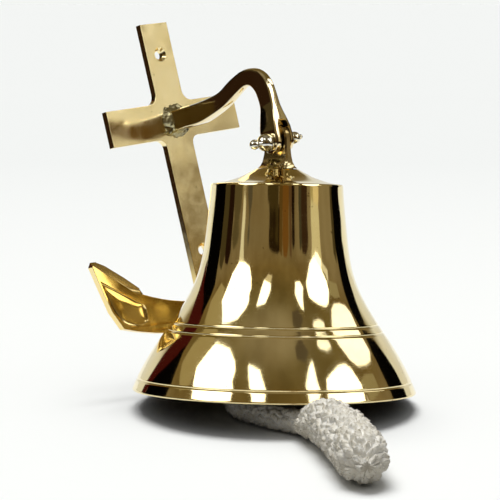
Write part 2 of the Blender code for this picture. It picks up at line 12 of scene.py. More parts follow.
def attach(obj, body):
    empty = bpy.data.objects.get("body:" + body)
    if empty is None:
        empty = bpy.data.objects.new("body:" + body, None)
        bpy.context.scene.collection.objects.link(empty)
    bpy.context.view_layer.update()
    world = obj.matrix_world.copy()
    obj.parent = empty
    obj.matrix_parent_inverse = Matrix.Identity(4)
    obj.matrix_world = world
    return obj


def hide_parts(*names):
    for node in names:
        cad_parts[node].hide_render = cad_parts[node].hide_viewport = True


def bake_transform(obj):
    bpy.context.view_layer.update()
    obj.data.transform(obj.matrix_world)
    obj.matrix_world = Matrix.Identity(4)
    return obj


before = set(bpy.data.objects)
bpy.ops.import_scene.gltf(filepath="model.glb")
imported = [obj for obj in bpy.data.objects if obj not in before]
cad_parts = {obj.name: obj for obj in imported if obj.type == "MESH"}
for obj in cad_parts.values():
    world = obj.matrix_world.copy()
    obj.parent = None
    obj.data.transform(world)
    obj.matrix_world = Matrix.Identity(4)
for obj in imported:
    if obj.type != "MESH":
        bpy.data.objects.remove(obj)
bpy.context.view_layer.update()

MM = 0.001

# Where the pieces stand, in mm and radians: SHIFT is the middle of the bell's mouth on the table.
SHIFT = np.array([12.22, -24.22, 0.0])
BELL_TILT_BACK = math.radians(6.6)
BELL_ROLL = math.radians(0.86)
LUG_TURN = math.radians(42.1)
BRACKET_SWING = math.radians(10.0)
BRACKET_ROLL = math.radians(9.2)
BOLT_HEIGHT = 134.4
BRACKET_REACH = 80.0
CROSS_ABOVE_BOLT = 27.5
CLAPPER_PIVOT_HEIGHT = 85.8
CLAPPER_HANG = math.radians(4.3)
TAIL_EYE_DROP = 81.0
MOUTH_RADIUS = 76.0

# The bell's outline and wall as the CAD has them: (radius, height) from the shoulder to the lip.
BELL_SIDE = [
    (35.4, 110.7), (36.1, 101.0), (37.6, 87.0), (39.4, 73.0), (42.8, 59.7), (47.8, 48.9),
    (54.4, 38.2), (61.8, 27.4), (68.4, 16.7), (73.7, 6.4), (76.0, 1.0),
]
CROWN_SLOPE = [(11.4, 119.2), (14.5, 117.4), (20.0, 114.7), (27.5, 112.4), (34.6, 111.2)]
SHOULDER = [(34.95, 111.02), (35.2, 110.9), (35.33, 110.6), (35.4, 110.3)]
INNER_SHOULDER = [(31.9, 105.4), (31.3, 106.6), (30.2, 107.4), (20.5, 110.6)]
GROOVE_HEIGHTS = (36.6, 32.6, 6.4)
GROOVE_HALF_WIDTH = 0.42
GROOVE_DEPTH = 0.45
WALL = 3.6
LIP_WALL = 4.6
CROWN_WALL = 5.4
CROWN_TOP = 119.2
CROWN_SEAT_RADIUS = 11.8
CROWN_HOLE_RADIUS = 4.3
RIM_FOOT_INSET = 0.9
BELL_SEGMENTS = 320

# The rope's route on the table, from the clapper's tail to its end, as the CAD has it.
ROPE_ROUTE = [
    (-12.8, -3.0, 9.0), (-15.8, -7.0, 7.8), (-18.8, -12.4, 7.1), (-20.4, -19.0, 6.9),
    (-19.8, -26.4, 6.9), (-16.4, -34.4, 6.9), (-10.8, -42.8, 6.9), (-4.0, -51.2, 6.9),
    (3.4, -59.2, 6.9), (10.0, -66.0, 7.1), (14.8, -70.8, 7.6), (18.8, -75.2, 8.0),
    (22.4, -81.6, 10.7), (25.6, -91.0, 12.5), (29.0, -105.0, 13.0), (32.6, -124.0, 13.1),
    (35.8, -145.0, 13.1), (38.0, -163.0, 12.8), (38.9, -172.0, 12.2), (39.5, -180.0, 11.8),
]
GRIP_START = 10
STRAND_RADIUS = 6.7
GRIP_HALF_SIZES = [
    (8.8, 7.2), (11.6, 7.7), (13.0, 10.5), (13.4, 12.3), (13.4, 12.8), (13.3, 12.9), (13.2, 12.9),
    (12.8, 12.5), (10.4, 10.2), (3.0, 3.0),
]

# Fineness and sizes of the knotted, twisted and wound surfaces.
ROPE_STEPS = 36
TABLE_CLEARANCE = 0.15
EYE_CORD_RADIUS = 2.2
EYE_LOOP_RADIUS = 4.6
EYE_TWISTS = 5
EYE_STEPS = 150
WHIPPING_RADIUS = 5.0
WHIPPING_LENGTH = 5.0
TWINE_WIDTH = 0.8
LOOP_AROUND = 36
TWINE_AROUND = 48
FILLET_AROUND = 144
FILLET_WALL = 1.2
LUMP_SIZE = 3.4

# Edges between faces that meet at more than this angle stay sharp.
SHARP_ANGLE = math.radians(38)
TURNED_SHARP_ANGLE = math.radians(40)

# The camera, at the photograph's angle.
CAMERA_PLACE = (-0.67, -1051.5, 225.9)
CAMERA_PITCH = 82.2
CAMERA_LENS = 140.4


# Shapes


def smooth_curve(points, per_span):
    """Catmull-Rom curve through the points, with its ends kept."""
    p = np.array(points, float)
    p = np.vstack([2 * p[0] - p[1], p, 2 * p[-1] - p[-2]])
    out = []
    for i in range(1, len(p) - 2):
        for k in range(per_span):
            t = k / per_span
            a, b, c, d = p[i - 1], p[i], p[i + 1], p[i + 2]
            out.append(0.5 * (2 * b + (c - a) * t + (2 * a - 5 * b + 4 * c - d) * t**2
                              + (3 * b - 3 * c + d - a) * t**3))
    out.append(p[-2])
    return np.array(out)


def natural_spline(x, y, at):
    """Values at the given places of the natural cubic spline through (x, y), with x rising."""
    n = len(x)
    h = np.diff(x)
    matrix = np.eye(n)
    right = np.zeros(n)
    for i in range(1, n - 1):
        matrix[i, i - 1: i + 2] = h[i - 1], 2 * (h[i - 1] + h[i]), h[i]
        right[i] = 6 * ((y[i + 1] - y[i]) / h[i] - (y[i] - y[i - 1]) / h[i - 1])
    m = np.linalg.solve(matrix, right)
    k = np.clip(np.searchsorted(x, at) - 1, 0, n - 2)
    t = at - x[k]
    s = x[k + 1] - at
    return (m[k] * s**3 + m[k + 1] * t**3) / (6 * h[k]) + (y[k] / h[k] - m[k] * h[k] / 6) * s \
        + (y[k + 1] / h[k] - m[k + 1] * h[k] / 6) * t


def bell_matrix():
    """The bell's own frame, tilted until one place of its rim is on the table."""
    lean = math.acos(math.cos(BELL_TILT_BACK) * math.cos(BELL_ROLL))
    rim_height = (MOUTH_RADIUS - RIM_FOOT_INSET) * math.sin(lean)
    place = Matrix.Translation(Vector((SHIFT[0], SHIFT[1], rim_height)) * MM)
    return place @ Euler((-BELL_TILT_BACK, BELL_ROLL, 0)).to_matrix().to_4x4()


def lug_matrix():
    """The bell's frame, turned so that Y runs along the lug's width."""
    return bell_matrix() @ Matrix.Rotation(LUG_TURN, 4, "Z")


def cross_matrix():
    """The middle of the anchor's cross: X along the stock, Y out of the back, Z up the shank."""
    hinge = lug_matrix() @ Matrix.Translation((0, 0, BOLT_HEIGHT * MM))
    hinge = hinge @ Euler((-BRACKET_SWING, -BRACKET_ROLL, 0)).to_matrix().to_4x4()
    return hinge @ Matrix.Translation(Vector((0, BRACKET_REACH, CROSS_ABOVE_BOLT)) * MM)


def clapper_matrix():
    """The hook's turning point, Z up the hanging clapper."""
    pivot = lug_matrix() @ Matrix.Translation((0, 0, CLAPPER_PIVOT_HEIGHT * MM))
    return pivot @ Matrix.Rotation(CLAPPER_HANG, 4, "X")


def new_object(name, mesh, material):
    obj = bpy.data.objects.new(name, mesh)
    bpy.context.collection.objects.link(obj)
    mesh.materials.append(material)
    return obj


def bell_profile():
    """(radius, height) once round the bell's closed section: crown, outside, lip, inside, crown hole."""
    side = np.array(BELL_SIDE)[::-1]
    heights = np.linspace(side[0, 1], side[-1, 1] - 0.6, 220)
    radii = natural_spline(side[:, 1], side[:, 0], heights)
    slopes = np.gradient(radii, heights)
    fine = []
    for groove in GROOVE_HEIGHTS:
        fine += list(groove + np.linspace(-3, 3, 19) * GROOVE_HALF_WIDTH)
    all_heights = np.array(sorted(set(np.round(heights, 4)) | set(np.round(fine, 4))))
    all_radii = natural_spline(side[:, 1], side[:, 0], all_heights)
    for groove in GROOVE_HEIGHTS:
        all_radii -= GROOVE_DEPTH * np.exp(-((all_heights - groove) / GROOVE_HALF_WIDTH)**2)
    outside = list(zip(all_radii, all_heights))[::-1]
    crown = smooth_curve(CROWN_SLOPE, 6)
    mouth = MOUTH_RADIUS
    lip = [(mouth + 0.02, 0.75), (mouth - 0.05, 0.5), (mouth - 0.22, 0.25), (mouth - 0.5, 0.08),
           (mouth - RIM_FOOT_INSET, 0.0), (mouth - LIP_WALL + 0.8, 0.0), (mouth - LIP_WALL + 0.3, 0.25),
           (mouth - LIP_WALL + 0.1, 0.7)]
    wall = np.interp(heights, [0.0, 14.0, 40.0], [LIP_WALL, LIP_WALL - 0.3, WALL])
    length = np.sqrt(1 + slopes**2)
    inside = [(r, h) for r, h in zip(radii - wall / length, heights + wall * slopes / length)
              if 1.5 < h < 104.0][::3]
    seat = CROWN_TOP - CROWN_WALL
    inside += INNER_SHOULDER + [(CROWN_SEAT_RADIUS, seat), (CROWN_HOLE_RADIUS, seat)]
    return [(CROWN_HOLE_RADIUS, CROWN_TOP)] + [tuple(p) for p in crown] + SHOULDER + outside + lip + inside


def turned_mesh(name, profile, segments):
    """A closed mesh turned about Z from (radius, height) points in mm."""
    profile = np.array(profile)
    turns = 2 * np.pi * np.arange(segments) / segments
    ring = np.stack([np.cos(turns), np.sin(turns)], 1)
    points = np.concatenate([np.c_[ring * r, np.full(segments, h)] for r, h in profile]) * MM
    faces = []
    rows = len(profile)
    for k in range(rows):
        for i in range(segments):
            j = (i + 1) % segments
            a, b = k * segments, (k + 1) % rows * segments
            faces.append((a + i, b + i, b + j, a + j))
    mesh = bpy.data.meshes.new(name)
    mesh.from_pydata(points.tolist(), [], faces)
    mesh.shade_smooth()
    mesh.set_sharp_from_angle(angle=TURNED_SHARP_ANGLE)
    return mesh


def make_bell(material):
    mesh = turned_mesh("bell_polished", bell_profile(), BELL_SEGMENTS)
    mesh.transform(bell_matrix())
    bell = new_object("bell_polished", mesh, material)
    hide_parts("bell_shell")
    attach(bell, "bell")


# Rope


def rope_route(per_span):
    """The smooth line through the route's points, in mm."""
    return smooth_curve(np.array(ROPE_ROUTE) + SHIFT, per_span)


def frames_along(points):
    """Unit (along, across, lift) at each point, with lift kept near +Z."""
    along = np.gradient(points, axis=0)
    along /= np.linalg.norm(along, axis=1)[:, None]
    across = np.cross(along, [0.0, 0.0, 1.0])
    across /= np.linalg.norm(across, axis=1)[:, None]
    return along, across, np.cross(across, along)


def knotted_height(turn, travel, radius, knot, seed):
    """Height from 0 to 1 of a surface of tight knots at an angle round the rope and a way along it."""
    around = Vector((math.cos(turn), math.sin(turn))) * radius / knot
    slant = 0.45 * math.sin(2 * turn)
    place = Vector((around.x, around.y, travel / knot * 0.85 + slant + seed))
    near, second = noise.voronoi(place)[0][:2]
    pillow = min(1.0, (second - near) / 0.42)
    return math.sin(pillow * math.pi / 2)


def rope_tube(name, points, sizes, knot, depth, seed, material, around):
    """A tube of knotted cotton along the points, with bumps that stay inside the sizes."""
    along, across, lift = frames_along(points)
    travel = np.r_[0, np.cumsum(np.linalg.norm(np.diff(points, axis=0), axis=1))]
    rows = len(points)
    verts = []
    for i in range(rows):
        wide, high = sizes[i]
        for k in range(around):
            turn = 2 * math.pi * k / around
            bump = knotted_height(turn, travel[i], min(wide, high), knot, seed)
            place = Vector((math.cos(turn) * wide, math.sin(turn) * high, travel[i] + seed)) / 1.4
            yarn = 0.6 * noise.noise(place) + 0.4 * noise.noise(place * 2.3)
            inward = depth * (1 - bump) + 0.45 * depth * (0.5 + yarn) * bump
            inward *= min(1, min(wide, high) / 6)
            verts.append(points[i] + across[i] * (wide - inward) * math.cos(turn)
                         + lift[i] * (high - inward) * math.sin(turn))
    faces = []
    for i in range(rows - 1):
        for k in range(around):
            j = (k + 1) % around
            faces.append((i * around + k, i * around + j, (i + 1) * around + j, (i + 1) * around + k))
    for row in (0, rows - 1):
        centre = len(verts)
        verts.append(points[row])
        for k in range(around):
            j = (k + 1) % around
            corner = (row * around + k, row * around + j, centre)
            faces.append(corner[::-1] if row == 0 else corner)
    verts = np.array(verts)
    verts[:, 2] = np.maximum(verts[:, 2], TABLE_CLEARANCE)
    mesh = bpy.data.meshes.new(name)
    mesh.from_pydata((verts * MM).tolist(), [], faces)
    mesh.shade_smooth()
    return new_object(name, mesh, material)


def ring_mesh(name, rows, matrix):
    """A closed mesh over rows of points in mm, each row meeting the next and the last the first."""
    rows = np.array(rows)
    count, around = rows.shape[:2]
    faces = []
    for i in range(count):
        for k in range(around):
            j = (k + 1) % around
            below, above = i * around, (i + 1) % count * around
            faces.append((below + k, below + j, above + j, above + k))
    mesh = bpy.data.meshes.new(name)
    mesh.from_pydata((rows.reshape(-1, 3) * MM).tolist(), [], faces)
    mesh.transform(matrix)
    mesh.shade_smooth()
    return mesh


def make_rope_loop(material):
    """The three-strand cord loop through the clapper's tail ring."""
    rows = []
    for i in range(EYE_STEPS):
        round_loop = 2 * math.pi * i / EYE_STEPS
        row = []
        for k in range(LOOP_AROUND):
            turn = 2 * math.pi * k / LOOP_AROUND
            lobe = abs(math.cos(1.5 * turn - EYE_TWISTS * 1.5 * round_loop))
            cord = EYE_CORD_RADIUS * (0.76 + 0.24 * math.sqrt(lobe))
            reach = EYE_LOOP_RADIUS + cord * math.cos(turn)
            row.append((reach * math.cos(round_loop), cord * math.sin(turn), reach * math.sin(round_loop)))
        rows.append(row)
    place = clapper_matrix() @ Matrix.Translation((0, 0, -TAIL_EYE_DROP * MM))
    loop = new_object("rope_loop_twisted", ring_mesh("rope_loop_twisted", rows, place), material)
    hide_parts("rope_eye")
    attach(loop, "clapper")
    return loop


def make_whipping(material):
    """Twine wound side by side round the rope where the loop is made fast."""
    start, next_place = (Vector(place) for place in rope_route(2)[:2])
    heading = (next_place - start).normalized()
    origin = start - heading * (WHIPPING_LENGTH + 0.3)
    turn_to = heading.to_track_quat("Z", "Y").to_matrix().to_4x4()
    place = Matrix.Translation(origin * MM) @ turn_to
    profile = [(travel, True) for travel in np.linspace(0, WHIPPING_LENGTH, 61)]
    profile += [(WHIPPING_LENGTH, False), (0, False)]
    rows = []
    for travel, outside in profile:
        row = []
        for k in range(TWINE_AROUND):
            turn = 2 * math.pi * k / TWINE_AROUND
            phase = travel / TWINE_WIDTH + k / TWINE_AROUND
            round_twine = math.sqrt(max(0.0, 1 - (2 * (phase % 1) - 1) ** 2))
            end = min(1.0, travel / 0.5, (WHIPPING_LENGTH - travel) / 0.5)
            radius = WHIPPING_RADIUS - 0.35 * (1 - round_twine) - 0.5 * (1 - end) if outside else 0.6
            row.append((radius * math.cos(turn), radius * math.sin(turn), travel))
        rows.append(row)
    whipping = new_object("rope_whipping_wound", ring_mesh("rope_whipping_wound", rows, place), material)
    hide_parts("rope_whipping")
    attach(whipping, "clapper")
    return whipping


def make_rope(material, twine):
    """The strand from the clapper, its thick grip, the loop and the whipping of the rope."""
    route = rope_route(ROPE_STEPS)
    split = GRIP_START * ROPE_STEPS
    strand_path = route[: split + 1]
    strand_sizes = np.full((len(strand_path), 2), STRAND_RADIUS)
    strand = rope_tube("rope_strand_knotted", strand_path, strand_sizes, 4.6, 1.7, 3.0, material, 96)
    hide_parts("rope_strand")
    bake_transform(strand)

    sizes = smooth_curve(GRIP_HALF_SIZES, ROPE_STEPS) + (0.6, 0.3)
    grip = rope_tube("rope_grip_knotted", route[split:], sizes, 5.6, 3.0, 9.0, material, 180)
    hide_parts("rope_grip")
    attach(grip, "bell")

    loop = make_rope_loop(material)
    whipping = make_whipping(twine)


# Rough metal where the pieces are cast and brazed


def lumpy_fillet(name, foot, top, steps, lump, matrix, material, seed):
    """A rough concave collar from a wide foot up to a narrow top, each (half x, half y, height) in mm."""
    rows = []
    for i in range(steps + 1):
        rise = i / steps
        share = (1 - rise) ** 2.2
        half_x = top[0] + (foot[0] - top[0]) * share
        half_y = top[1] + (foot[1] - top[1]) * share
        height = foot[2] + (top[2] - foot[2]) * rise
        rows.append((half_x, half_y, height, lump * (0.35 + 0.65 * share)))
    for height in (top[2], foot[2]):
        rows.append((top[0] - FILLET_WALL, top[1] - FILLET_WALL, height, 0.0))
    points = []
    for half_x, half_y, height, rough in rows:
        row = []
        for k in range(FILLET_AROUND):
            turn = 2 * math.pi * k / FILLET_AROUND
            c, q = math.cos(turn), math.sin(turn)
            square = (abs(c) ** 3 + abs(q) ** 3) ** (-1 / 3)
            place = Vector((c * half_x, q * half_y, height * 0.8 + seed)) / LUMP_SIZE
            swell = rough * (noise.noise(place) + 0.45 * noise.noise(place * 2.2))
            row.append(((half_x + swell) * c * square, (half_y + swell) * q * square, height + 0.4 * swell))
        points.append(row)
    return new_object(name, ring_mesh(name, points, matrix), material)


def make_rough_metal(cast, braze):
    """The unpolished casting at the lug's foot, and the braze round the arm's foot."""
    collar = lumpy_fillet("lug_casting", (8.6, 13.4, 116.4), (3.0, 8.6, 124.4), 20, 1.6,
                          lug_matrix(), cast, 4.0)
    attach(collar, "bell")
    out = cross_matrix() @ Matrix.Translation((0, 0, -0.7 * MM)) @ Matrix.Rotation(math.pi / 2, 4, "X")
    fillet = lumpy_fillet("arm_braze", (8.6, 9.4, 0.12), (5.2, 6.2, 4.2), 14, 1.1, out, braze, 7.0)
    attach(fillet, "bracket")


# Materials


class Nodes:
    """A short way to write a node tree: add() makes a node and links or sets its inputs by name."""

    def __init__(self, tree):
        self.tree = tree

    def add(self, kind, inputs=None, **settings):
        node = self.tree.nodes.new(kind)
        for key, value in settings.items():
            setattr(node, key, value)
        for key, value in (inputs or {}).items():
            if isinstance(value, bpy.types.NodeSocket):
                self.tree.links.new(value, node.inputs[key])
            else:
                node.inputs[key].default_value = value
        return node

    def math(self, operation, *values):
        node = self.add("ShaderNodeMath", dict(enumerate(values)), operation=operation)
        return node.outputs[0]

    def ramp(self, value, stops):
        node = self.add("ShaderNodeValToRGB", {"Fac": value})
        while len(node.color_ramp.elements) < len(stops):
            node.color_ramp.elements.new(0.5)
        for element, (place, colour) in zip(node.color_ramp.elements, stops):
            element.position = place
            element.color = colour if len(colour) == 4 else (*colour, 1)
        return node.outputs["Color"]

    def rise(self, value, start, end, **settings):
        """0 where the value is at start, 1 where it is at end, and between in between."""
        limits = {"Value": value, "From Min": start, "From Max": end}
        return self.add("ShaderNodeMapRange", limits, **settings).outputs[0]

    def mix(self, share, a, b, blend="MIX"):
        node = self.add("ShaderNodeMix", data_type="RGBA", blend_type=blend)
        for socket, value in ((node.inputs["Factor"], share), (node.inputs[6], a), (node.inputs[7], b)):
            if isinstance(value, bpy.types.NodeSocket):
                self.tree.links.new(value, socket)
            elif hasattr(value, "__len__"):
                socket.default_value = (*value[:3], 1)
            else:
                socket.default_value = value
        return node.outputs[2]


def new_material(name):
    made = bpy.data.materials.new(name)
    made.use_nodes = True
    nodes = Nodes(made.node_tree)
    shader = made.node_tree.nodes["Principled BSDF"]
    return made, nodes, shader


def brass(name, colour, stain, roughness, wave, scratch, wave_scale=26.0, stretch=14.0, low=None):
    """Polished cast brass: faint tarnish in patches, fine polishing lines and a slight waviness.

    With low given as (colour, height in mm), the metal is painted that colour below that height: a painted
    reflection, deeper and darker gold low down.
    """
    made, nodes, shader = new_material(name)
    place = nodes.add("ShaderNodeTexCoord").outputs["Object"]
    patches = nodes.add("ShaderNodeTexNoise", {"Vector": place, "Scale": 38.0, "Detail": 5.0,
                                               "Roughness": 0.6})
    specks = nodes.add("ShaderNodeTexNoise", {"Vector": place, "Scale": 420.0, "Detail": 2.0})
    tarnish = nodes.ramp(patches.outputs[0], [(0.38, (0, 0, 0)), (0.72, (1, 1, 1))])
    # Painted reflection: below low's height the brass is painted low's deeper, darker colour.
    if low:
        height = nodes.add("ShaderNodeSeparateXYZ", {"Vector": place}).outputs["Z"]
        share = nodes.rise(height, (low[1] + 12) * MM, (low[1] - 12) * MM)
        colour = nodes.mix(share, colour, low[0])
    tint = nodes.mix(tarnish, colour, stain)
    dark = nodes.ramp(specks.outputs[0], [(0.22, (0.35, 0.28, 0.15)), (0.27, (1, 1, 1))])
    shader.inputs["Metallic"].default_value = 1.0
    nodes.tree.links.new(nodes.mix(1.0, tint, dark, "MULTIPLY"), shader.inputs["Base Color"])
    lines = nodes.add("ShaderNodeMapping", {"Vector": place, "Scale": (1.0, 1.0, stretch)})
    fine = nodes.add("ShaderNodeTexNoise", {"Vector": lines.outputs[0], "Scale": 160.0, "Detail": 4.0})
    rough = nodes.add("ShaderNodeMapRange", {"Value": fine.outputs[0], "From Min": 0.3, "From Max": 0.75,
                                             "To Min": roughness * 0.7, "To Max": roughness * 1.5})
    nodes.tree.links.new(rough.outputs[0], shader.inputs["Roughness"])
    slow = nodes.add("ShaderNodeTexNoise", {"Vector": place, "Scale": wave_scale, "Detail": 1.0})
    bump = nodes.add("ShaderNodeBump", {"Height": slow.outputs[0], "Strength": wave, "Distance": 0.0008})
    bump = nodes.add("ShaderNodeBump", {"Height": fine.outputs[0], "Strength": scratch, "Distance": 0.00005,
                                        "Normal": bump.outputs[0]})
    nodes.tree.links.new(bump.outputs[0], shader.inputs["Normal"])
    return made


def cotton(name):
    """Off-white cotton cord, felted, with painted shade greying its hollows and a faint painted highlight on
    its crests.
    """
    made, nodes, shader = new_material(name)
    place = nodes.add("ShaderNodeTexCoord").outputs["Object"]
    yarn = nodes.add("ShaderNodeTexNoise", {"Vector": place, "Scale": 900.0, "Detail": 6.0, "Roughness": 0.7})
    clumps = nodes.add("ShaderNodeTexNoise", {"Vector": place, "Scale": 210.0, "Detail": 4.0})
    # Pointiness paints shade: darker grey in the hollows, and a faint painted highlight on the crests.
    hollow = nodes.add("ShaderNodeNewGeometry").outputs["Pointiness"]
    painted_crevice_shade = nodes.ramp(hollow, [(0.41, (0.50, 0.44, 0.33)), (0.47, (0.93, 0.89, 0.78)),
                               (0.54, (0.99, 0.97, 0.91))])
    shade = nodes.ramp(clumps.outputs[0], [(0.3, (0.90, 0.88, 0.83)), (0.6, (1, 1, 1))])
    nodes.tree.links.new(nodes.mix(1.0, painted_crevice_shade, shade, "MULTIPLY"), shader.inputs["Base Color"])
    shader.inputs["Roughness"].default_value = 0.95
    shader.inputs["Sheen Weight"].default_value = 0.35
    shader.inputs["Sheen Roughness"].default_value = 0.6
    shader.inputs["Specular IOR Level"].default_value = 0.15
    bump = nodes.add("ShaderNodeBump", {"Height": clumps.outputs[0], "Strength": 0.8, "Distance": 0.0012})
    bump = nodes.add("ShaderNodeBump", {"Height": yarn.outputs[0], "Strength": 0.9, "Distance": 0.0005,
                                        "Normal": bump.outputs[0]})
    nodes.tree.links.new(bump.outputs[0], shader.inputs["Normal"])
    return made


def smooth_edges_group():
    """Geometry nodes that join the CAD's loose triangles and shade them smooth, but for the sharp edges."""
    tree = bpy.data.node_groups.new("smooth_by_angle", "GeometryNodeTree")
    tree.interface.new_socket("Geometry", in_out="INPUT", socket_type="NodeSocketGeometry")
    tree.interface.new_socket("Geometry", in_out="OUTPUT", socket_type="NodeSocketGeometry")
    nodes = Nodes(tree)
    start = nodes.add("NodeGroupInput")
    joined = nodes.add("GeometryNodeMergeByDistance", {"Geometry": start.outputs[0], "Distance": 1e-6})
    plain = nodes.add("GeometryNodeRemoveAttribute", {"Geometry": joined.outputs[0], "Name": "custom_normal"})
    faces = nodes.add("GeometryNodeSetShadeSmooth", {"Geometry": plain.outputs[0], "Shade Smooth": True},
                      domain="FACE")
    angle = nodes.add("GeometryNodeInputMeshEdgeAngle")
    sharp = nodes.add("FunctionNodeCompare", {"A": angle.outputs[0], "B": SHARP_ANGLE},
                      data_type="FLOAT", operation="GREATER_THAN")
    edges = nodes.add("GeometryNodeSetShadeSmooth",
                      {"Geometry": faces.outputs[0], "Selection": sharp.outputs[0], "Shade Smooth": False},
                      domain="EDGE")
    nodes.add("NodeGroupOutput", {"Geometry": edges.outputs[0]})
    return tree


def dress_cad_nodes(looks):
    """Gives each named CAD node its material, smooth faces and sharp edges."""
    group = smooth_edges_group()
    for name, material in looks.items():
        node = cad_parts[name]
        node.data.materials.clear()
        node.data.materials.append(material)
        node.modifiers.new("smooth by angle", "NODES").node_group = group
        weighted = node.modifiers.new("flat faces lead", "WEIGHTED_NORMAL")
        weighted.keep_sharp = True


# Studio


def make_camera():
    """A long lens from the front, a little above the bell and tilted down."""
    data = bpy.data.cameras.new("camera")
    data.lens = CAMERA_LENS
    data.sensor_width = 36.0
    data.clip_start = 0.05
    data.clip_end = 60.0
    camera = bpy.data.objects.new("camera", data)
    bpy.context.collection.objects.link(camera)
    camera.location = Vector(CAMERA_PLACE) * MM
    camera.rotation_euler = (math.radians(CAMERA_PITCH), 0, 0)
    bpy.context.scene.camera = camera


